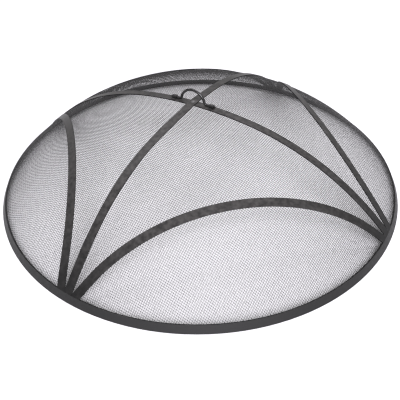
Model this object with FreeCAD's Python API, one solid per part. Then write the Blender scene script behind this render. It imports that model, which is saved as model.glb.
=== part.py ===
"""Round domed spark screen for a fire pit.

A dome of woven wire cloth is clamped in a double rim band. Two flat steel straps cross
over its crown and four flat steel arcs tie neighbouring feet together, so that three
straps meet at each foot and butt against the rim band. A wire bail lifts the screen by
its crown.

Frame: millimetres, +Z up, origin at the centre of the rim on the ground. The lower
cross strap and the bail's hinge line run along X, the upper cross strap along Y.
"""

import FreeCAD
import Part
import math
import os
from FreeCAD import Vector

# Overall size
RIM_DIAMETER = 914.4          # 36 in over the rim band, at the ground
CROWN_RADIUS = 878.0          # meridian radius of the flat crown
CROWN_ANGLE = 8.0             # slope where the crown meets the shoulder, degrees
SHOULDER_ANGLE = 46.2         # slope where the shoulder meets the knee, degrees
RIM_ANGLE = 63.0              # slope of the straight skirt at the rim, degrees
SKIRT_WIDTH = 16.7            # straight part of the meridian, along the slope
KNEE_RADIUS = 2.0             # crease between shoulder and skirt

# Stock
STRAP_WIDTH = 18.3            # flat bar
STRAP_THICKNESS = 2.0
BAND_WIDTH = 17.4             # outer rim band, along the slope
INNER_BAND_WIDTH = 15.9       # 5/8 in
BAND_THICKNESS = 1.5
CLOTH_THICKNESS = 1.2         # woven cloth of 0.6 mm wire, over its knuckles
LAYER_GAP = 0.05              # air between stacked layers

# Strap layout
UPPER_STRAP_X = -16.4         # the hand-set crossing sits nearly a strap's width off the axis
LOWER_STRAP_Y = 4.8
UPPER_STRAP_BOW = 5.5         # the front half of the upper strap drifts sideways by this much
STRAP_OVERRUN = 12.0          # straps are drawn this far past the knee, then cut along it
ARC_FOOT_OFFSET = 2.5         # arc strap centre to cross strap centre at a foot, degrees
ARC_TILTS = {                 # slope of each arc strap's plane, rising towards the crown
    "arc_strap_front": 69.2,
    "arc_strap_right": 63.2,
    "arc_strap_rear": 66.0,
    "arc_strap_left": 66.2,
}
ARC_TRIM_GAP = 0.3            # between an arc strap's mitred end and the cross strap
CROSSING_LIFT = STRAP_THICKNESS + 0.15
CROSSING_LAND = 2.0           # the raised flat runs this far past the lower strap
CROSSING_RAMP = 30.0          # length of the joggle back down to the cloth

# Crown rivet
RIVET_SHANK_RADIUS = 1.9      # 5/32 in rivet
RIVET_HEAD_RADIUS = 5.0
RIVET_HEAD_HEIGHT = 2.2
WASHER_RADIUS = 8.0
WASHER_THICKNESS = 1.0
HOLE_CLEARANCE = 0.05

# Bail and its clips
WIRE_RADIUS = 3.0             # 6 mm rod
BAIL_ARCH_RADIUS = 30.0
BAIL_BEND_RADIUS = 4.5
BAIL_BEND_ANGLE = 78.0        # each leg turns up by this much into the arch, degrees
BAIL_END = 54.5               # wire end, from the middle of the bail
CLIP_START = 42.0             # inner end of a clip, from the middle of the bail
CLIP_LENGTH = 10.0
CLIP_THICKNESS = 1.6
CLIP_FLANGE = 4.0
CLIP_BORE_CLEARANCE = 0.08    # running fit of the wire in its clip
WIRE_LIFT = -0.15             # the strap falls away by more than this at the bail's legs
CLIP_RIVET_RADIUS = 1.0
CLIP_RIVET_HEAD_RADIUS = 1.7
CLIP_RIVET_HEAD_HEIGHT = 0.8

RIM_SLOPE = math.radians(RIM_ANGLE)
SHOULDER_SLOPE = math.radians(SHOULDER_ANGLE)
CROWN_SLOPE = math.radians(CROWN_ANGLE)
RIM_RADIUS = RIM_DIAMETER / 2.0

# The cloth's top face meets the ground one band inside the rim's outer face.
CLOTH_FOOT_RADIUS = RIM_RADIUS - (LAYER_GAP + BAND_THICKNESS) / math.sin(RIM_SLOPE)

# Meridian of the cloth's top face: crown arc, shoulder arc, small knee, straight skirt.
CROWN_END_RADIUS = CROWN_RADIUS * math.sin(CROWN_SLOPE)
SKIRT_TOP_RADIUS = CLOTH_FOOT_RADIUS - SKIRT_WIDTH * math.cos(RIM_SLOPE)
SKIRT_TOP_HEIGHT = SKIRT_WIDTH * math.sin(RIM_SLOPE)
KNEE_CENTRE_RADIUS = SKIRT_TOP_RADIUS - KNEE_RADIUS * math.sin(RIM_SLOPE)
KNEE_CENTRE_HEIGHT = SKIRT_TOP_HEIGHT - KNEE_RADIUS * math.cos(RIM_SLOPE)
SHOULDER_END_RADIUS = KNEE_CENTRE_RADIUS + KNEE_RADIUS * math.sin(SHOULDER_SLOPE)
SHOULDER_END_HEIGHT = KNEE_CENTRE_HEIGHT + KNEE_RADIUS * math.cos(SHOULDER_SLOPE)
SHOULDER_RADIUS = (SHOULDER_END_RADIUS - CROWN_END_RADIUS) / (
    math.sin(SHOULDER_SLOPE) - math.sin(CROWN_SLOPE)
)
SHOULDER_CENTRE_RADIUS = SHOULDER_END_RADIUS - SHOULDER_RADIUS * math.sin(SHOULDER_SLOPE)
SHOULDER_CENTRE_HEIGHT = SHOULDER_END_HEIGHT - SHOULDER_RADIUS * math.cos(SHOULDER_SLOPE)
CROWN_END_HEIGHT = SHOULDER_CENTRE_HEIGHT + SHOULDER_RADIUS * math.cos(CROWN_SLOPE)
CROWN_CENTRE_HEIGHT = CROWN_END_HEIGHT - CROWN_RADIUS * math.cos(CROWN_SLOPE)


def dome_height(radius, offset=0.0):
    """Height of crown and shoulder at a distance from the axis, on a face offset outwards.

    Past the knee the shoulder is carried on, which is where the straps are drawn.
    """
    crown = CROWN_RADIUS + offset
    shoulder = SHOULDER_RADIUS + offset
    if radius <= crown * math.sin(CROWN_SLOPE):
        return CROWN_CENTRE_HEIGHT + math.sqrt(crown**2 - radius**2)
    reach = radius - SHOULDER_CENTRE_RADIUS
    return SHOULDER_CENTRE_HEIGHT + math.sqrt(shoulder**2 - reach**2)


def dome_slope(radius):
    """Slope angle of crown and shoulder at a distance from the axis."""
    if radius <= CROWN_END_RADIUS:
        return math.asin(radius / CROWN_RADIUS)
    return math.asin((radius - SHOULDER_CENTRE_RADIUS) / SHOULDER_RADIUS)


def dome_point(x, y):
    """Point of the cloth's top face above (x, y)."""
    return Vector(x, y, dome_height(math.hypot(x, y)))


def dome_normal(x, y):
    """Outward normal of the cloth's top face above (x, y)."""
    radius = math.hypot(x, y)
    slope = dome_slope(radius)
    if radius == 0.0:
        return Vector(0, 0, 1)
    side = math.sin(slope) / radius
    return Vector(x * side, y * side, math.cos(slope))


def meridian_arc(radius, centre_radius, centre_height, first_slope, last_slope):
    """Arc of a meridian between two slopes."""

    def at(slope):
        across = centre_radius + radius * math.sin(slope)
        return Vector(across, 0, centre_height + radius * math.cos(slope))

    middle_slope = (first_slope + last_slope) / 2.0
    return Part.Arc(at(first_slope), at(middle_slope), at(last_slope)).toShape()


def skirt_foot(offset):
    """Point where the skirt's offset face meets the ground."""
    return Vector(CLOTH_FOOT_RADIUS + offset / math.sin(RIM_SLOPE), 0, 0)


def meridian_edges(offset):
    """Edges of one meridian, from the axis down to the ground."""
    crown = meridian_arc(CROWN_RADIUS + offset, 0, CROWN_CENTRE_HEIGHT, 0, CROWN_SLOPE)
    shoulder = meridian_arc(
        SHOULDER_RADIUS + offset,
        SHOULDER_CENTRE_RADIUS,
        SHOULDER_CENTRE_HEIGHT,
        CROWN_SLOPE,
        SHOULDER_SLOPE,
    )
    knee = meridian_arc(
        KNEE_RADIUS + offset, KNEE_CENTRE_RADIUS, KNEE_CENTRE_HEIGHT, SHOULDER_SLOPE, RIM_SLOPE
    )
    skirt = Part.makeLine(knee.Vertexes[-1].Point, skirt_foot(offset))
    return [crown, shoulder, knee, skirt]


def revolve(edges):
    """Solid of revolution about the Z axis of a closed outline in the XZ plane."""
    face = Part.Face(Part.Wire(edges))
    return face.revolve(Vector(0, 0, 0), Vector(0, 0, 1), 360)


def make_cloth():
    """Wire cloth as a closed shell as thick as its knuckles, cut level at the ground."""
    top = meridian_edges(0.0)
    under = meridian_edges(-CLOTH_THICKNESS)
    axis = Part.makeLine(under[0].Vertexes[0].Point, top[0].Vertexes[0].Point)
    ground = Part.makeLine(top[-1].Vertexes[-1].Point, under[-1].Vertexes[-1].Point)
    return revolve([axis] + top + [ground] + under[::-1])


def make_band(inner_offset, width):
    """Conical band lying on the skirt, its lower edge ground level with the floor."""
    up_slope = Vector(-math.cos(RIM_SLOPE), 0, math.sin(RIM_SLOPE)) * width
    inwards = Vector(-math.sin(RIM_SLOPE), 0, -math.cos(RIM_SLOPE)) * BAND_THICKNESS
    outer_foot = skirt_foot(inner_offset + BAND_THICKNESS)
    outer_top = outer_foot + up_slope
    inner_foot = skirt_foot(inner_offset)
    corners = [outer_foot, outer_top, outer_top + inwards, inner_foot, outer_foot]
    return revolve(Part.makePolygon(corners).Edges)


def strap_section(point, normal, along, lift):
    """Rectangle of flat bar standing on the cloth, square to the strap's path."""
    across = along.cross(normal).normalize()
    up = across.cross(along).normalize()
    base = point + normal * (LAYER_GAP + lift)
    half = across * (STRAP_WIDTH / 2.0)
    rise = up * STRAP_THICKNESS
    corners = [base - half, base + half, base + half + rise, base - half + rise, base - half]
    return Part.makePolygon(corners)


def make_strap(plan_points, lift_at):
    """Flat bar carried over the dome above the plan points, always lying on the cloth."""
    points = [dome_point(x, y) for x, y in plan_points]
    lifts = [lift_at(x, y) for x, y in plan_points]
    centres = [p + dome_normal(p.x, p.y) * rise for p, rise in zip(points, lifts)]
    sections = []
    last = len(points) - 1
    for index, point in enumerate(points):
        before = centres[max(index - 1, 0)]
        after = centres[min(index + 1, last)]
        along = (after - before).normalize()
        normal = dome_normal(point.x, point.y)
        sections.append(strap_section(point, normal, along, lifts[index]))
    return Part.makeLoft(sections, True, False)


def no_lift(x, y):
    """A strap that lies on the cloth all the way."""
    return 0.0


def crossing_lift(x, y):
    """Rise of the upper strap: a flat over the lower strap, then a smooth joggle down."""
    distance = abs(y - LOWER_STRAP_Y) - STRAP_WIDTH / 2.0 - CROSSING_LAND
    share = min(max(distance / CROSSING_RAMP, 0.0), 1.0)
    return CROSSING_LIFT * (1.0 + math.cos(math.pi * share)) / 2.0


def spaced(first, last, steps):
    """Evenly spaced numbers from first to last, both included."""
    return [first + (last - first) * index / steps for index in range(steps + 1)]


STRAP_END_RADIUS = SHOULDER_END_RADIUS + STRAP_OVERRUN


def above_the_knee():
    """Everything inside the cone on which the straps end, square to the knee."""
    slope = (SHOULDER_SLOPE + RIM_SLOPE) / 2.0
    knee = Vector(SHOULDER_END_RADIUS, 0, SHOULDER_END_HEIGHT)
    square = Vector(math.sin(slope), 0, math.cos(slope)) * STRAP_OVERRUN
    low = Vector(0, 0, -RIM_RADIUS)
    high = Vector(0, 0, RIM_RADIUS)
    corners = [low, knee - square, knee + square * 2.0, high, low]
    return revolve(Part.makePolygon(corners).Edges)


def make_lower_cross_strap():
    """Cross strap along X, lying on the cloth from rim to rim."""
    reach = math.sqrt(STRAP_END_RADIUS**2 - LOWER_STRAP_Y**2)
    plan = [(x, LOWER_STRAP_Y) for x in spaced(-reach, reach, 42)]
    return make_strap(plan, no_lift)


def make_upper_cross_strap():
    """Cross strap along Y, joggled over the lower one at the crossing.

    Its front half bows a little sideways between the crossing and the foot.
    """
    reach = math.sqrt(STRAP_END_RADIUS**2 - UPPER_STRAP_X**2)
    raised = STRAP_WIDTH / 2.0 + CROSSING_LAND + CROSSING_RAMP
    low = LOWER_STRAP_Y - raised
    high = LOWER_STRAP_Y + raised
    stations = spaced(-reach, low, 19)[:-1] + spaced(low, high, 28) + spaced(high, reach, 19)[1:]
    plan = []
    for y in stations:
        share = max(low - y, 0.0) / (low + reach)
        plan.append((UPPER_STRAP_X - UPPER_STRAP_BOW * math.sin(math.pi * share) ** 2, y))
    return make_strap(plan, crossing_lift)


def arc_radius(azimuth_from_middle, half_span, tilt):
    """Distance from the axis where the arc's tilted plane meets the dome.

    The plane rises from the line that joins the arc's two feet at the knee.
    """
    low = 0.0
    high = STRAP_END_RADIUS
    for _ in range(60):
        radius = (low + high) / 2.0
        inwards = SHOULDER_END_RADIUS * math.cos(half_span)
        inwards -= radius * math.cos(azimuth_from_middle)
        if SHOULDER_END_HEIGHT + inwards * math.tan(tilt) > dome_height(radius):
            low = radius
        else:
            high = radius
    return (low + high) / 2.0


def make_arc_strap(first_azimuth, last_azimuth, tilt_angle):
    """Flat bar along the cut of a tilted plane through the dome, from foot to foot."""
    middle = (first_azimuth + last_azimuth) / 2.0
    half_span = (last_azimuth - first_azimuth) / 2.0
    tilt = math.radians(tilt_angle)
    end = half_span + STRAP_OVERRUN / SHOULDER_END_RADIUS
    plan = []
    for turn in spaced(-end, end, 32):
        radius = arc_radius(turn, half_span, tilt)
        plan.append((radius * math.cos(middle + turn), radius * math.sin(middle + turn)))
    return make_strap(plan, no_lift)


def make_arc_straps(keep_clear):
    """The four arcs, each from one cross strap foot to the next, mitred beside them."""
    front = math.atan2(-SHOULDER_END_RADIUS, UPPER_STRAP_X)
    right = math.atan2(LOWER_STRAP_Y, SHOULDER_END_RADIUS)
    rear = math.atan2(SHOULDER_END_RADIUS, UPPER_STRAP_X)
    left = math.atan2(LOWER_STRAP_Y, -SHOULDER_END_RADIUS)
    feet = {
        "arc_strap_front": (front, right),
        "arc_strap_right": (right, rear),
        "arc_strap_rear": (rear, left),
        "arc_strap_left": (left, front + 2.0 * math.pi),
    }
    inset = math.radians(ARC_FOOT_OFFSET)
    straps = {}
    for name, (first, last) in feet.items():
        strap = make_arc_strap(first + inset, last - inset, ARC_TILTS[name])
        straps[name] = strap.cut(keep_clear)
    return straps


def cross_strap_clearance():
    """Upright slabs over both cross straps, where no arc strap may reach."""
    half = STRAP_WIDTH / 2.0 + ARC_TRIM_GAP
    length = 2.0 * RIM_RADIUS
    along_y = Part.makeBox(2 * half, length, length, Vector(UPPER_STRAP_X - half, -RIM_RADIUS, -1))
    along_x = Part.makeBox(length, 2 * half, length, Vector(-RIM_RADIUS, LOWER_STRAP_Y - half, -1))
    return along_y.fuse(along_x)


# Crown hardware is drawn in a frame of its own, then set on the crossing of the straps.
# Its origin is on the cloth's top face, its X runs along the lower strap, its Z stands
# square to the cloth.
CROSSING = dome_point(UPPER_STRAP_X, LOWER_STRAP_Y)
CROSSING_UP = dome_normal(CROSSING.x, CROSSING.y)
HINGE_AXIS = Vector(0, 1, 0).cross(CROSSING_UP).normalize()
CROSSING_PLACEMENT = FreeCAD.Placement(
    CROSSING, FreeCAD.Rotation(HINGE_AXIS, CROSSING_UP.cross(HINGE_AXIS), CROSSING_UP, "ZXY")
)
UP = Vector(0, 0, 1)
DOWN = Vector(0, 0, -1)
ALONG = Vector(1, 0, 0)

# Heights in the crossing's frame.
LOWER_STRAP_TOP = LAYER_GAP + STRAP_THICKNESS
UPPER_STRAP_TOP = LAYER_GAP + CROSSING_LIFT + STRAP_THICKNESS
WASHER_TOP = -CLOTH_THICKNESS - LAYER_GAP
WIRE_AXIS_HEIGHT = LOWER_STRAP_TOP + WIRE_RADIUS + WIRE_LIFT


def crown_sag(along, across=0.0):
    """How far the crown has fallen below its tangent plane at a place near the crossing."""
    return (along**2 + across**2) / (2.0 * CROWN_RADIUS)


def on_crossing(shape):
    """The same shape moved from the crossing's frame into the screen's frame."""
    placed = shape.copy()
    placed.Placement = CROSSING_PLACEMENT.multiply(placed.Placement)
    return placed


def round_head(x, y, base, radius, height, direction):
    """Rivet head: a spherical cap standing on a flat base."""
    ball = (radius**2 + height**2) / (2.0 * height)
    sphere = Part.makeSphere(ball, Vector(x, y, base) + direction * (height - ball))
    slab = Part.makeCylinder(radius, height + 1.0, Vector(x, y, base), direction)
    return sphere.common(slab)


def make_rivet(x, y, top, bottom, shank_radius, head_radius, head_height):
    """Round-headed rivet with a closing head below, its heads bearing at top and bottom."""
    shank = Part.makeCylinder(shank_radius, top - bottom, Vector(x, y, bottom))
    upper_head = round_head(x, y, top, head_radius, head_height, UP)
    lower_head = round_head(x, y, bottom, head_radius, head_height, DOWN)
    return shank.fuse([upper_head, lower_head]).removeSplitter()


def hole_at(x, y, shank_radius):
    """Drill for a rivet shank through every layer at the crown."""
    reach = 20.0
    return Part.makeCylinder(shank_radius + HOLE_CLEARANCE, 2 * reach, Vector(x, y, -reach))


def make_crown_rivet():
    """Rivet through both cross straps, the cloth and the washer."""
    top = UPPER_STRAP_TOP + LAYER_GAP
    bottom = WASHER_TOP - WASHER_THICKNESS - LAYER_GAP
    return make_rivet(
        0, 0, top, bottom, RIVET_SHANK_RADIUS, RIVET_HEAD_RADIUS, RIVET_HEAD_HEIGHT
    )


def make_crown_washer():
    """Flat washer under the cloth, around the crown rivet."""
    base = Vector(0, 0, WASHER_TOP - WASHER_THICKNESS)
    disc = Part.makeCylinder(WASHER_RADIUS, WASHER_THICKNESS, base)
    return disc.cut(hole_at(0, 0, RIVET_SHANK_RADIUS))


def clip_rivet_places():
    """Centres of the four small rivets, one in each clip flange."""
    across = WIRE_RADIUS + CLIP_BORE_CLEARANCE + CLIP_THICKNESS + CLIP_FLANGE / 2.0
    along = CLIP_START + CLIP_LENGTH / 2.0
    return [(side * along, flank * across) for side in (-1, 1) for flank in (-1, 1)]


CLIP_SEAT = LOWER_STRAP_TOP + LAYER_GAP - crown_sag(CLIP_START)
FLANGE_TOP = CLIP_SEAT + CLIP_THICKNESS


def make_clip(side):
    """Saddle clip: a bridge over the wire with a riveted flange on each flank.

    The flanges are hollowed underneath to lie on the curve of the strap.
    """
    bore = WIRE_RADIUS + CLIP_BORE_CLEARANCE
    outside = bore + CLIP_THICKNESS
    flange_reach = outside + CLIP_FLANGE
    low = CLIP_START if side > 0 else -CLIP_START - CLIP_LENGTH
    floor = LOWER_STRAP_TOP - crown_sag(CLIP_START + CLIP_LENGTH, flange_reach) - 1.0

    def block(half_width, top):
        base = Vector(low, -half_width, floor)
        return Part.makeBox(CLIP_LENGTH, 2 * half_width, top - floor, base)

    bridge = Part.makeCylinder(outside, CLIP_LENGTH, Vector(low, 0, WIRE_AXIS_HEIGHT), ALONG)
    tunnel = Part.makeCylinder(bore, CLIP_LENGTH, Vector(low, 0, WIRE_AXIS_HEIGHT), ALONG)
    walls = block(outside, WIRE_AXIS_HEIGHT)
    flanges = block(flange_reach, FLANGE_TOP)
    slot = block(bore, WIRE_AXIS_HEIGHT)
    strap_ball_radius = CROWN_RADIUS + LOWER_STRAP_TOP + LAYER_GAP
    strap_ball = Part.makeSphere(strap_ball_radius, DOWN * CROWN_RADIUS)
    clip = bridge.fuse([walls, flanges]).cut([tunnel, slot, strap_ball])
    clip = clip.cut([hole_at(x, y, CLIP_RIVET_RADIUS) for x, y in clip_rivet_places()])
    return clip.removeSplitter()


def make_clip_rivets():
    """Four small rivets through the clip flanges, the strap and the cloth."""
    rivets = []
    for x, y in clip_rivet_places():
        top = FLANGE_TOP + LAYER_GAP
        bottom = -CLOTH_THICKNESS - LAYER_GAP - crown_sag(abs(x) + CLIP_RIVET_HEAD_RADIUS, y)
        rivets.append(
            make_rivet(
                x,
                y,
                top,
                bottom,
                CLIP_RIVET_RADIUS,
                CLIP_RIVET_HEAD_RADIUS,
                CLIP_RIVET_HEAD_HEIGHT,
            )
        )
    return Part.makeCompound(rivets)


def make_bail():
    """Wire bail: an arch whose legs turn outwards along the hinge line."""
    turn = math.radians(BAIL_BEND_ANGLE)
    leg = (BAIL_ARCH_RADIUS + BAIL_BEND_RADIUS) * math.sin(turn)
    top = BAIL_BEND_RADIUS - (BAIL_ARCH_RADIUS + BAIL_BEND_RADIUS) * math.cos(turn)
    top += BAIL_ARCH_RADIUS

    def at(along, height):
        return Vector(along, 0, WIRE_AXIS_HEIGHT + height)

    def on_bend(side, angle):
        along = leg - BAIL_BEND_RADIUS * math.sin(angle)
        return at(side * along, BAIL_BEND_RADIUS * (1.0 - math.cos(angle)))

    def bend(side):
        return Part.Arc(on_bend(side, 0), on_bend(side, turn / 2.0), on_bend(side, turn))

    edges = [
        Part.makeLine(at(-BAIL_END, 0), at(-leg, 0)),
        bend(-1).toShape(),
        Part.Arc(on_bend(-1, turn), at(0, top), on_bend(1, turn)).toShape(),
        bend(1).toShape(),
        Part.makeLine(at(leg, 0), at(BAIL_END, 0)),
    ]
    circle = Part.Circle(at(-BAIL_END, 0), ALONG, WIRE_RADIUS).toShape()
    return Part.Wire(edges).makePipeShell([Part.Wire(circle)], True, False)


def make_all():
    """Every sub-part by name."""
    inside_rim = above_the_knee()
    inner_band_offset = -CLOTH_THICKNESS - LAYER_GAP - BAND_THICKNESS
    crown_hole = on_crossing(hole_at(0, 0, RIVET_SHANK_RADIUS))
    clip_holes = [on_crossing(hole_at(x, y, CLIP_RIVET_RADIUS)) for x, y in clip_rivet_places()]
    parts = {
        "mesh_dome": make_cloth().cut([crown_hole] + clip_holes),
        "rim_band_outer": make_band(LAYER_GAP, BAND_WIDTH),
        "rim_band_inner": make_band(inner_band_offset, INNER_BAND_WIDTH),
        "cross_strap_lower": make_lower_cross_strap().cut([crown_hole] + clip_holes),
        "cross_strap_upper": make_upper_cross_strap().cut(crown_hole),
        "crown_rivet": on_crossing(make_crown_rivet()),
        "crown_washer": on_crossing(make_crown_washer()),
        "handle_bail": on_crossing(make_bail()),
        "handle_clip_left": on_crossing(make_clip(-1)),
        "handle_clip_right": on_crossing(make_clip(1)),
        "handle_clip_rivets": on_crossing(make_clip_rivets()),
    }
    parts.update(make_arc_straps(cross_strap_clearance()))
    for node in parts:
        if "strap" in node:
            parts[node] = parts[node].common(inside_rim)
    return parts


os.makedirs("parts", exist_ok=True)
for node, shape in make_all().items():
    box = shape.BoundBox
    print(
        f"{node}: valid {shape.isValid()}, solids {len(shape.Solids)}, "
        f"volume {shape.Volume:.1f}, x {box.XMin:.1f} {box.XMax:.1f}, "
        f"y {box.YMin:.1f} {box.YMax:.1f}, z {box.ZMin:.2f} {box.ZMax:.2f}"
    )
    shape.exportStep(f"parts/{node}.step")
hinge_point = CROSSING_PLACEMENT.multVec(Vector(0, 0, WIRE_AXIS_HEIGHT))
print(f"hinge point {hinge_point}, axis {HINGE_AXIS}")
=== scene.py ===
import math

import bpy
import numpy as np
from mathutils import Euler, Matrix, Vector


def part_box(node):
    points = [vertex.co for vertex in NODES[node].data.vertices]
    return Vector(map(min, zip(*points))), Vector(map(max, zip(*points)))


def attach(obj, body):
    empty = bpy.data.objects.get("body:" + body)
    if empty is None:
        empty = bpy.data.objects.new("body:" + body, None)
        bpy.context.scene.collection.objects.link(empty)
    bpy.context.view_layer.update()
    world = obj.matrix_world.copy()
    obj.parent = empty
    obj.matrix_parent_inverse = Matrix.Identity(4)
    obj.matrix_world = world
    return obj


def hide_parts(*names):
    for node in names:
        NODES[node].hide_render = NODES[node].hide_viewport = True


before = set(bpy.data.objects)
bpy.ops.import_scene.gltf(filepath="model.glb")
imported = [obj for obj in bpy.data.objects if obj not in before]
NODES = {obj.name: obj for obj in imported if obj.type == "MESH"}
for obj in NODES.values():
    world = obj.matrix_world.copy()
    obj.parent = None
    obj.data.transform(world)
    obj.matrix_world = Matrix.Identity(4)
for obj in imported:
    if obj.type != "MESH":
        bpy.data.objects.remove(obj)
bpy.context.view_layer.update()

MM = 0.001
SCREEN = "screen"
TINY = 1e-9                     # keeps roots and quotients away from zero

# ---------------------------------------------------------------- the dome's meridian
# The cloth's outer face: a flat crown arc, a tighter shoulder arc and a straight skirt.
CROWN_RADIUS = 878.0 * MM
CROWN_SLOPE = math.radians(8.0)
SHOULDER_SLOPE = math.radians(46.2)
RIM_SLOPE = math.radians(63.0)
SKIRT_WIDTH = 16.7 * MM
KNEE_RADIUS = 2.0 * MM

# ---------------------------------------------------------------- the wire cloth
CLOTH_THICKNESS = 1.2 * MM      # of the CAD shell, over the knuckles of the weave
WIRE_PITCH = 25.4 * MM / 6.0    # six wires to the inch
WIRE_RADIUS = 0.31 * MM
WIRE_SIDES = 4                  # a wire is a square tube, so each end closes with one face
WIRES_EACH_WAY = 126            # from the middle wire to the last one past the rim
FEWEST_CROSSINGS = 4            # a shorter wire at the rim is left out
CLOTH_FOOT_HEIGHT = 1.2 * MM    # wires are cut off this far above the floor
CLOTH_PIECES = 4                # groups of wires in each direction
CHORD_STEPS = 12                # corrections that bring a step along the dome to one pitch
CROSSING_STEPS = 8              # corrections that bring a crossing one pitch from both others

# Wires wander sideways in the weave by WIRE_DRIFT times smooth waves over the plan, each
# given as its strength, its radians to the metre along X and along Y, and its phase.
WIRE_DRIFT = 0.06 * MM
DRIFT_WAVES_X = ((1.0, 31.0, 47.0, 0.4), (0.6, -22.0, 83.0, 2.1))
DRIFT_WAVES_Y = ((1.0, 43.0, -29.0, 1.7), (0.6, 77.0, 19.0, 0.3))


def meridian():
    """Radii, centres and heights of the cloth's middle face, from the CAD shell's box."""
    low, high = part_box("mesh_dome")
    foot = (high.x - low.x) / 2.0
    crown_end = CROWN_RADIUS * math.sin(CROWN_SLOPE)
    skirt_top = foot - SKIRT_WIDTH * math.cos(RIM_SLOPE)
    end_x = skirt_top - KNEE_RADIUS * (math.sin(RIM_SLOPE) - math.sin(SHOULDER_SLOPE))
    end_z = SKIRT_WIDTH * math.sin(RIM_SLOPE)
    end_z += KNEE_RADIUS * (math.cos(SHOULDER_SLOPE) - math.cos(RIM_SLOPE))
    shoulder = (end_x - crown_end) / (math.sin(SHOULDER_SLOPE) - math.sin(CROWN_SLOPE))
    shoulder_z = end_z - shoulder * math.cos(SHOULDER_SLOPE)
    inset = -CLOTH_THICKNESS / 2.0
    return {
        "crown": CROWN_RADIUS + inset,
        "crown_z": shoulder_z + (shoulder - CROWN_RADIUS) * math.cos(CROWN_SLOPE),
        "shoulder": shoulder + inset,
        "shoulder_x": end_x - shoulder * math.sin(SHOULDER_SLOPE),
        "shoulder_z": shoulder_z,
        "foot": foot + inset / math.sin(RIM_SLOPE),
    }


DOME = meridian()


def dome_height(radius):
    """Height and slope (dz/dr) of the cloth's middle face at distances from the axis."""
    crown = DOME["crown"]
    reach = radius - DOME["shoulder_x"]
    on_crown = radius <= crown * math.sin(CROWN_SLOPE)
    crown_rise = np.sqrt(np.maximum(crown**2 - radius**2, TINY))
    shoulder_rise = np.sqrt(np.maximum(DOME["shoulder"] ** 2 - reach**2, TINY))
    height = np.where(on_crown, DOME["crown_z"] + crown_rise, DOME["shoulder_z"] + shoulder_rise)
    slope = np.where(on_crown, -radius / crown_rise, -reach / shoulder_rise)
    skirt = (DOME["foot"] - radius) * math.tan(RIM_SLOPE)
    return np.minimum(height, skirt), np.where(skirt < height, -math.tan(RIM_SLOPE), slope)


def on_dome(plan):
    """Points of the cloth's middle face above plan points (n, 2)."""
    height, _ = dome_height(np.hypot(plan[:, 0], plan[:, 1]))
    return np.column_stack([plan, height])


def dome_normals(points):
    """Outward normals of the cloth at points on it."""
    radius = np.maximum(np.hypot(points[..., 0], points[..., 1]), TINY)
    _, slope = dome_height(radius)
    lean_x = -slope * points[..., 0] / radius
    lean_y = -slope * points[..., 1] / radius
    normals = np.stack([lean_x, lean_y, np.ones_like(radius)], axis=-1)
    return normals / np.linalg.norm(normals, axis=-1, keepdims=True)


def next_crossings(first, second, guess):
    """Points on the dome one pitch from first and one pitch from second, near guess."""
    plan = guess[:, :2].copy()
    for _ in range(CROSSING_STEPS):
        radius = np.maximum(np.hypot(plan[:, 0], plan[:, 1]), TINY)
        height, slope = dome_height(radius)
        here = np.column_stack([plan, height])
        rise = slope[:, None] * plan / radius[:, None]
        rows = []
        gaps = []
        for anchor in (first, second):
            away = here - anchor
            rows.append(2.0 * (away[:, :2] + away[:, 2:] * rise))
            gaps.append((away**2).sum(axis=1) - WIRE_PITCH**2)
        determinant = rows[0][:, 0] * rows[1][:, 1] - rows[0][:, 1] * rows[1][:, 0]
        plan[:, 0] -= (gaps[0] * rows[1][:, 1] - gaps[1] * rows[0][:, 1]) / determinant
        plan[:, 1] -= (gaps[1] * rows[0][:, 0] - gaps[0] * rows[1][:, 0]) / determinant
    return on_dome(plan)


def middle_wire(count):
    """Crossings along the wire over the crown, in the XZ plane, one pitch apart."""
    places = [0.0]
    for _ in range(count):
        step = WIRE_PITCH
        for _ in range(CHORD_STEPS):
            ends = np.array([places[-1], places[-1] + step])
            height, _ = dome_height(ends)
            chord = math.hypot(step, height[1] - height[0])
            step *= WIRE_PITCH / chord
        places.append(places[-1] + step)
    return np.array(places)


def woven_net(count):
    """Crossings of the cloth draped over one quarter of the dome, as a grid of points.

    Both families of wires keep their pitch along the surface, so the square cells of the
    flat cloth shear into diamonds towards the quarter's diagonal, as draped cloth does.
    """
    reach = middle_wire(count)
    grid = np.zeros((count + 1, count + 1, 3))
    nothing = np.zeros(count + 1)
    grid[:, 0] = on_dome(np.column_stack([reach, nothing]))
    grid[0, :] = on_dome(np.column_stack([nothing, reach]))
    for diagonal in range(2, 2 * count + 1):
        along = np.arange(max(1, diagonal - count), min(count, diagonal - 1) + 1)
        across = diagonal - along
        beside = grid[along - 1, across]
        below = grid[along, across - 1]
        corner = grid[along - 1, across - 1]
        grid[along, across] = next_crossings(beside, below, beside + below - corner)
    return grid


def whole_net(count):
    """Crossings over the whole dome: the quarter mirrored into the other three."""
    quarter = woven_net(count)
    index = np.arange(-count, count + 1)
    along, across = np.meshgrid(index, index, indexing="ij")
    net = quarter[np.abs(along), np.abs(across)].copy()
    net[..., 0] *= np.sign(along) + (along == 0)
    net[..., 1] *= np.sign(across) + (across == 0)
    return net


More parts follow.
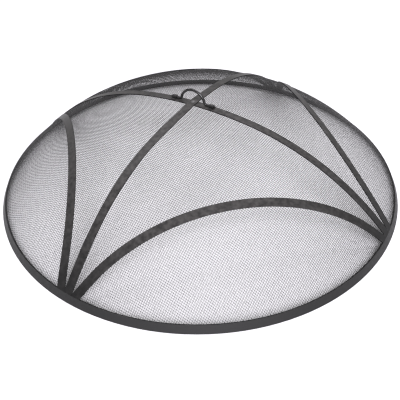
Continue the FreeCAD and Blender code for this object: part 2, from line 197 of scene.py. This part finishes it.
# ---------------------------------------------------------------- drawing the wires
def mesh_object(name, vertices, quads):
    """A smooth-shaded mesh object of four-cornered faces."""
    mesh = bpy.data.meshes.new(name)
    mesh.vertices.add(len(vertices))
    mesh.vertices.foreach_set("co", vertices.astype(np.float32).ravel())
    mesh.loops.add(quads.size)
    mesh.loops.foreach_set("vertex_index", quads.astype(np.int32).ravel())
    mesh.polygons.add(len(quads))
    mesh.polygons.foreach_set("loop_start", np.arange(0, quads.size, 4, dtype=np.int32))
    mesh.polygons.foreach_set("use_smooth", np.ones(len(quads), bool))
    mesh.update(calc_edges=True)
    mesh.validate()
    piece = bpy.data.objects.new(name, mesh)
    bpy.context.scene.collection.objects.link(piece)
    return piece


def sum_of_waves(waves, x, y):
    """Sum of sine waves over the plan, each one as in DRIFT_WAVES_X."""
    return sum(
        strength * np.sin(per_x * x + per_y * y + phase)
        for strength, per_x, per_y, phase in waves
    )


def wandering(points):
    """Small sideways drift of the woven wires, smooth from cell to cell."""
    x, y = points[..., 0], points[..., 1]
    drift = np.zeros_like(points)
    drift[..., 0] = sum_of_waves(DRIFT_WAVES_X, x, y)
    drift[..., 1] = sum_of_waves(DRIFT_WAVES_Y, x, y)
    return drift * WIRE_DRIFT


def wire_path(crossings, first_side):
    """Centre line and normals of one wire, over and under in turn, or None if too short.

    The ends are cut at the cloth's foot, between the last crossing above it and the next.
    """
    normals = dome_normals(crossings)
    side = first_side * (1.0 - 2.0 * (np.arange(len(crossings)) % 2))
    path = crossings + normals * (side * WIRE_RADIUS)[:, None]
    above = np.flatnonzero(path[:, 2] >= CLOTH_FOOT_HEIGHT)
    first, last = above[0], above[-1]
    if last - first + 1 < FEWEST_CROSSINGS:
        return None
    ends = []
    for inside, outside in ((first, first - 1), (last, last + 1)):
        share = (path[inside, 2] - CLOTH_FOOT_HEIGHT) / (path[inside, 2] - path[outside, 2])
        ends.append((1.0 - share) * path[inside] + share * path[outside])
    kept = path[first : last + 1]
    up = normals[first : last + 1]
    return np.vstack([ends[:1], kept, ends[1:]]), np.vstack([up[:1], up, up[-1:]])


def tube(path, up):
    """Vertices and faces of a closed tube along a path, with up as the tube's own top."""
    along = np.gradient(path, axis=0)
    along /= np.linalg.norm(along, axis=1, keepdims=True)
    across = np.cross(along, up)
    across /= np.linalg.norm(across, axis=1, keepdims=True)
    rise = np.cross(across, along)
    turn = (np.arange(WIRE_SIDES) + 0.5) * 2.0 * math.pi / WIRE_SIDES
    sideways = across[:, None] * np.cos(turn)[None, :, None]
    upwards = rise[:, None] * np.sin(turn)[None, :, None]
    vertices = (path[:, None] + WIRE_RADIUS * (sideways + upwards)).reshape(-1, 3)
    start = np.arange(len(path) - 1)[:, None] * WIRE_SIDES
    corner = np.arange(WIRE_SIDES)[None, :]
    beside = (corner + 1) % WIRE_SIDES
    near, far = start + corner, start + beside
    walls = np.stack([near, far, far + WIRE_SIDES, near + WIRE_SIDES], axis=-1).reshape(-1, 4)
    last = len(vertices) - WIRE_SIDES
    caps = np.array([[3, 2, 1, 0], [last, last + 1, last + 2, last + 3]])
    return vertices, np.vstack([walls, caps])


def wire_group(name, wires):
    """One mesh of many wires, each given as its crossings and the side it starts on."""
    vertices, quads, count = [], [], 0
    for crossings, first_side in wires:
        drawn = wire_path(crossings, first_side)
        if drawn is None:
            continue
        points, faces = tube(*drawn)
        vertices.append(points)
        quads.append(faces + count)
        count += len(points)
    return mesh_object(name, np.vstack(vertices), np.vstack(quads))


def weave_cloth():
    """All the wires of the cloth, as CLOTH_PIECES meshes each way."""
    net = whole_net(WIRES_EACH_WAY)
    net = net + wandering(net)
    plan = net[..., :2].reshape(-1, 2)
    net = on_dome(plan).reshape(net.shape)
    inside_rim = net[..., 2] >= 2.0 * CLOTH_FOOT_HEIGHT
    pieces = []
    for name, grid, inside, turn in (
        ("cloth_warp", net, inside_rim, 1.0),
        ("cloth_weft", net.transpose(1, 0, 2), inside_rim.T, -1.0),
    ):
        rows = np.flatnonzero(inside.sum(axis=0) >= FEWEST_CROSSINGS)
        for part, chosen in enumerate(np.array_split(rows, CLOTH_PIECES)):
            wires = [(grid[:, index], turn * (1.0 - 2.0 * (index % 2))) for index in chosen]
            pieces.append(wire_group(f"{name}_{part + 1}", wires))
    return pieces


# ---------------------------------------------------------------- finishes
STEEP, LEVEL = 0.68, 0.95       # upward part of the normal where dust and painted top light start and are full
FLAT, SHARP = 0.99, 0.82        # cosine between true and rounded normals, on flats and edges
EDGE_WIDTH = 0.5 * MM           # how far rubbed paint reaches in from a sharp edge
EDGE_SAMPLES = 4
NOISE_ROUGHNESS = 0.55
# light grey of dust, which also paints top light onto level faces
DUST_AND_TOP_LIGHT_TONE = 0.16
BARE_TONE = 0.16                # where paint is rubbed off an edge


def grey(value, warmth=0.0):
    """Linear colour near grey, a little warmer or cooler."""
    return (value * (1.0 + warmth), value, value * (1.0 - warmth), 1.0)


class Finish:
    """A node material whose patterns are placed by the piece's own coordinates, in metres."""

    def __init__(self, name):
        self.material = bpy.data.materials.new(name)
        self.material.use_nodes = True
        self.tree = self.material.node_tree
        self.shader = self.tree.nodes["Principled BSDF"]
        self.place = self.tree.nodes.new("ShaderNodeTexCoord").outputs["Object"]

    def node(self, kind, inputs=None, **settings):
        """A new node; an input is a value or another node's output."""
        made = self.tree.nodes.new(kind)
        for key, value in settings.items():
            setattr(made, key, value)
        for key, value in (inputs or {}).items():
            if isinstance(value, bpy.types.NodeSocket):
                self.tree.links.new(value, made.inputs[key])
            else:
                made.inputs[key].default_value = value
        return made

    def noise(self, size, detail=3.0):
        """Noise from 0 to 1 with features about size metres across."""
        scaled = self.node(
            "ShaderNodeMapping", {"Vector": self.place, "Scale": [1.0 / size] * 3}
        )
        made = self.node(
            "ShaderNodeTexNoise",
            {
                "Vector": scaled.outputs["Vector"],
                "Scale": 1.0,
                "Detail": detail,
                "Roughness": NOISE_ROUGHNESS,
            },
        )
        return made.outputs["Fac"]

    def spread(self, value, low, high, to_low=0.0, to_high=1.0):
        """value from low..high carried to to_low..to_high, clamped."""
        made = self.node(
            "ShaderNodeMapRange",
            {"From Min": low, "From Max": high, "To Min": to_low, "To Max": to_high},
        )
        self.tree.links.new(value, made.inputs["Value"])
        return made.outputs["Result"]

    def times(self, first, second):
        """The product of two values."""
        made = self.node("ShaderNodeMath", {0: first, 1: second}, operation="MULTIPLY")
        return made.outputs[0]

    def mixed(self, share, first, second):
        """The first colour where share is 0, the second where it is 1."""
        made = self.node("ShaderNodeMix", data_type="RGBA")
        self.tree.links.new(share, made.inputs["Factor"])
        for key, value in (("A", first), ("B", second)):
            socket = next(s for s in made.inputs if s.name == key and s.type == "RGBA")
            if isinstance(value, bpy.types.NodeSocket):
                self.tree.links.new(value, socket)
            else:
                socket.default_value = value
        return next(s for s in made.outputs if s.type == "RGBA")

    def facing_up(self):
        """How far the surface faces up, from 0 on steep slopes to 1 where nearly level."""
        normal = self.node("ShaderNodeNewGeometry").outputs["Normal"]
        split = self.node("ShaderNodeSeparateXYZ", {"Vector": normal})
        return self.spread(split.outputs["Z"], STEEP, LEVEL)

    def edges(self):
        """1 along sharp edges, 0 on flats."""
        rounded = self.node("ShaderNodeBevel", {"Radius": EDGE_WIDTH}, samples=EDGE_SAMPLES)
        normal = self.node("ShaderNodeNewGeometry").outputs["Normal"]
        close = self.node(
            "ShaderNodeVectorMath",
            {0: rounded.outputs["Normal"], 1: normal},
            operation="DOT_PRODUCT",
        )
        return self.spread(close.outputs["Value"], FLAT, SHARP)

    def bumps(self, *layers):
        """Bump layers as (height, distance in metres, strength)."""
        normal = None
        for height, distance, strength in layers:
            made = self.node("ShaderNodeBump", {"Distance": distance, "Strength": strength})
            self.tree.links.new(height, made.inputs["Height"])
            if normal is not None:
                self.tree.links.new(normal, made.inputs["Normal"])
            normal = made.outputs["Normal"]
        self.tree.links.new(normal, self.shader.inputs["Normal"])

    def dress(self, colour, roughness, **constants):
        """The finished material, with constants named like the shader's other inputs."""
        self.tree.links.new(colour, self.shader.inputs["Base Color"])
        self.tree.links.new(roughness, self.shader.inputs["Roughness"])
        for key, value in constants.items():
            self.shader.inputs[key.replace("_", " ")].default_value = value
        return self.material


def powder_coat(name, tone, sheen, coat, specular=0.5, most_dust_and_top_light=0.14):
    """Satin black stove paint on bar or strip, with dust and painted top light on level faces,
    rubbed edges and orange peel.

    tone is the paint's grey and sheen its roughness; coat and specular are the strengths of
    its clear coat and of its plain reflection; most_dust_and_top_light is the most dust and
    painted top light on level faces.
    """
    finish = Finish(name)
    cloudy = finish.noise(90.0 * MM)
    mottled = finish.noise(9.0 * MM, detail=4.0)
    peel = finish.noise(0.9 * MM, detail=2.0)
    grain = finish.noise(0.25 * MM, detail=1.0)
    clouds = finish.spread(cloudy, 0.35, 0.68)
    paint = finish.mixed(clouds, grey(tone * 0.86), grey(tone * 1.16))
    specks = finish.spread(mottled, 0.55, 0.75, to_high=0.5)
    speckled = finish.mixed(specks, paint, grey(tone * 1.5, 0.03))
    # dust on level faces, partly painted top light: upward faces are painted lighter than steep
    # ones
    dust_and_top_light_patches = finish.spread(mottled, 0.35, 0.65, to_low=0.3 * most_dust_and_top_light, to_high=most_dust_and_top_light)
    dust_and_top_light = finish.times(finish.facing_up(), dust_and_top_light_patches)
    dusted_and_top_lit = finish.mixed(dust_and_top_light, speckled, grey(DUST_AND_TOP_LIGHT_TONE, 0.05))
    rubbed_patches = finish.spread(mottled, 0.44, 0.66, to_low=0.05, to_high=0.6)
    rubbed = finish.times(finish.edges(), rubbed_patches)
    worn = finish.mixed(rubbed, dusted_and_top_lit, grey(BARE_TONE, 0.02))
    roughness = finish.spread(mottled, 0.3, 0.7, to_low=sheen - 0.05, to_high=sheen + 0.09)
    finish.bumps((peel, 0.05 * MM, 0.35), (grain, 0.02 * MM, 0.25), (mottled, 0.2 * MM, 0.15))
    return finish.dress(
        worn, roughness, Coat_Weight=coat, Coat_Roughness=0.24, Specular_IOR_Level=specular
    )


def gloss_wire(name):
    """Gloss black enamel of the bail, worn greyer in spots."""
    finish = Finish(name)
    mottled = finish.noise(4.0 * MM)
    drawn = finish.noise(0.6 * MM, detail=2.0)
    clouds = finish.spread(mottled, 0.35, 0.7)
    paint = finish.mixed(clouds, grey(0.005), grey(0.011, 0.02))
    rubbed = finish.spread(mottled, 0.62, 0.74, to_high=0.35)
    worn = finish.mixed(rubbed, paint, grey(0.05, 0.02))
    roughness = finish.spread(mottled, 0.3, 0.7, to_low=0.20, to_high=0.36)
    finish.bumps((drawn, 0.03 * MM, 0.3))
    return finish.dress(worn, roughness, Coat_Weight=0.4, Coat_Roughness=0.12)


def woven_wire(name):
    """Dark coated wire of the cloth, greyer in places and sooty in patches."""
    finish = Finish(name)
    patches = finish.noise(120.0 * MM)
    fine = finish.noise(3.0 * MM, detail=4.0)
    drawn = finish.noise(0.4 * MM, detail=1.0)
    soot = finish.spread(patches, 0.35, 0.68)
    coated = finish.mixed(soot, grey(0.020, 0.02), grey(0.036, 0.02))
    greyed = finish.spread(fine, 0.5, 0.72, to_high=0.55)
    worn = finish.mixed(greyed, coated, grey(0.080, 0.02))
    roughness = finish.spread(fine, 0.3, 0.7, to_low=0.34, to_high=0.52)
    finish.bumps((drawn, 0.03 * MM, 0.3))
    return finish.dress(worn, roughness, Specular_IOR_Level=0.4)


def wear(piece, material):
    """Gives a piece, or a node of the CAD model, one material."""
    if not piece.material_slots:
        piece.data.materials.append(None)
    for place in piece.material_slots:
        place.link = "OBJECT"
        place.material = material


# the bars' large share of dust is partly painted top light, lightening their upward faces
BAR = powder_coat("bar_paint", tone=0.008, sheen=0.42, coat=0.0, specular=0.25, most_dust_and_top_light=0.40)
BAND = powder_coat("band_paint", tone=0.006, sheen=0.52, coat=0.0)
PRESSED = powder_coat("clip_paint", tone=0.004, sheen=0.36, coat=0.3)
RIVET = powder_coat("rivet_paint", tone=0.080, sheen=0.32, coat=0.5)
BAIL_WIRE = gloss_wire("bail_enamel")
CLOTH = woven_wire("cloth_wire")

STRAPS = ["cross_strap_lower", "cross_strap_upper"]
STRAPS += [f"arc_strap_{side}" for side in ("front", "right", "rear", "left")]
for material, names in (
    (BAR, STRAPS),
    (BAND, ("rim_band_outer", "rim_band_inner")),
    (PRESSED, ("handle_clip_left", "handle_clip_right", "handle_clip_rivets")),
    (RIVET, ("crown_rivet", "crown_washer")),
    (BAIL_WIRE, ("handle_bail",)),
):
    for name in names:
        wear(NODES[name], material)

for piece in weave_cloth():
    wear(piece, CLOTH)
    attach(piece, SCREEN)
    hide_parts("mesh_dome")

# ---------------------------------------------------------------- floor, light and camera
FLOOR_HALF = 20.0
FLOOR_DROP = 0.2 * MM           # keeps the floor clear of the rim's lower edge
SURROUND_STRENGTH = 0.48
LIGHT_TINT = (1.0, 0.97, 1.05)
SOFTBOXES = (                   # name, place, width in metres, power in watts
    ("front_softbox", (2.7, -3.9, 3.7), 3.2, 390.0),
    ("rear_softbox", (-0.6, 0.9, 2.6), 2.0, 30.0),
)
FILTER_WIDTH = 1.2              # pixels
CAMERA_PLACE = Vector((0.5445, -0.87817, 0.80222))
CAMERA_TARGET = Vector((0.02253, -0.03738, -0.04076))
CAMERA_ROLL = math.radians(-1.141)
CAMERA_LENS = 48.95             # millimetres, on a sensor SENSOR_WIDTH wide
SENSOR_WIDTH = 36.0
CAMERA_NEAR, CAMERA_FAR = 0.01, 100.0


def plain_floor():
    """A pale floor, wide enough to fill the main view."""
    mesh = bpy.data.meshes.new("floor")
    signs = ((-1, -1), (1, -1), (1, 1), (-1, 1))
    corners = [(x * FLOOR_HALF, y * FLOOR_HALF, 0.0) for x, y in signs]
    mesh.from_pydata(corners, [], [(0, 1, 2, 3)])
    floor = bpy.data.objects.new("floor", mesh)
    bpy.context.scene.collection.objects.link(floor)
    floor.location.z = -FLOOR_DROP
    finish = Finish("floor_paint")
    tone = finish.mixed(finish.noise(400.0 * MM), grey(0.90), grey(0.93))
    roughness = finish.spread(finish.noise(60.0 * MM), 0.3, 0.7, to_low=0.7, to_high=0.8)
    mesh.materials.append(finish.dress(tone, roughness, Specular_IOR_Level=0.2))


def area_light(name, place, size, power):
    """A soft square light aimed at the floor in the middle of the rim."""
    light = bpy.data.lights.new(name, "AREA")
    light.color = LIGHT_TINT
    light.size = size
    light.energy = power
    lamp = bpy.data.objects.new(name, light)
    lamp.location = place
    lamp.rotation_euler = (-Vector(place)).to_track_quat("-Z", "Y").to_euler()
    bpy.context.scene.collection.objects.link(lamp)


def studio():
    """An even pale surround, with a large soft light in front and a weak one behind."""
    world = bpy.data.worlds.new("surround")
    bpy.context.scene.world = world
    world.use_nodes = True
    surround = world.node_tree.nodes["Background"]
    surround.inputs["Color"].default_value = (1.0, 1.0, 1.0, 1.0)
    surround.inputs["Strength"].default_value = SURROUND_STRENGTH
    for softbox in SOFTBOXES:
        area_light(*softbox)
    scene = bpy.context.scene
    scene.view_settings.view_transform = "Standard"
    scene.cycles.filter_width = FILTER_WIDTH


def set_camera():
    """The camera of the main view, from the front and a little to the right."""
    data = bpy.data.cameras.new("camera")
    data.lens = CAMERA_LENS
    data.sensor_width = SENSOR_WIDTH
    data.clip_start, data.clip_end = CAMERA_NEAR, CAMERA_FAR
    camera = bpy.data.objects.new("camera", data)
    bpy.context.scene.collection.objects.link(camera)
    camera.location = CAMERA_PLACE
    aim = (CAMERA_TARGET - CAMERA_PLACE).to_track_quat("-Z", "Y")
    camera.rotation_mode = "QUATERNION"
    camera.rotation_quaternion = aim @ Euler((0.0, 0.0, CAMERA_ROLL)).to_quaternion()
    bpy.context.scene.camera = camera


plain_floor()
studio()
set_camera()
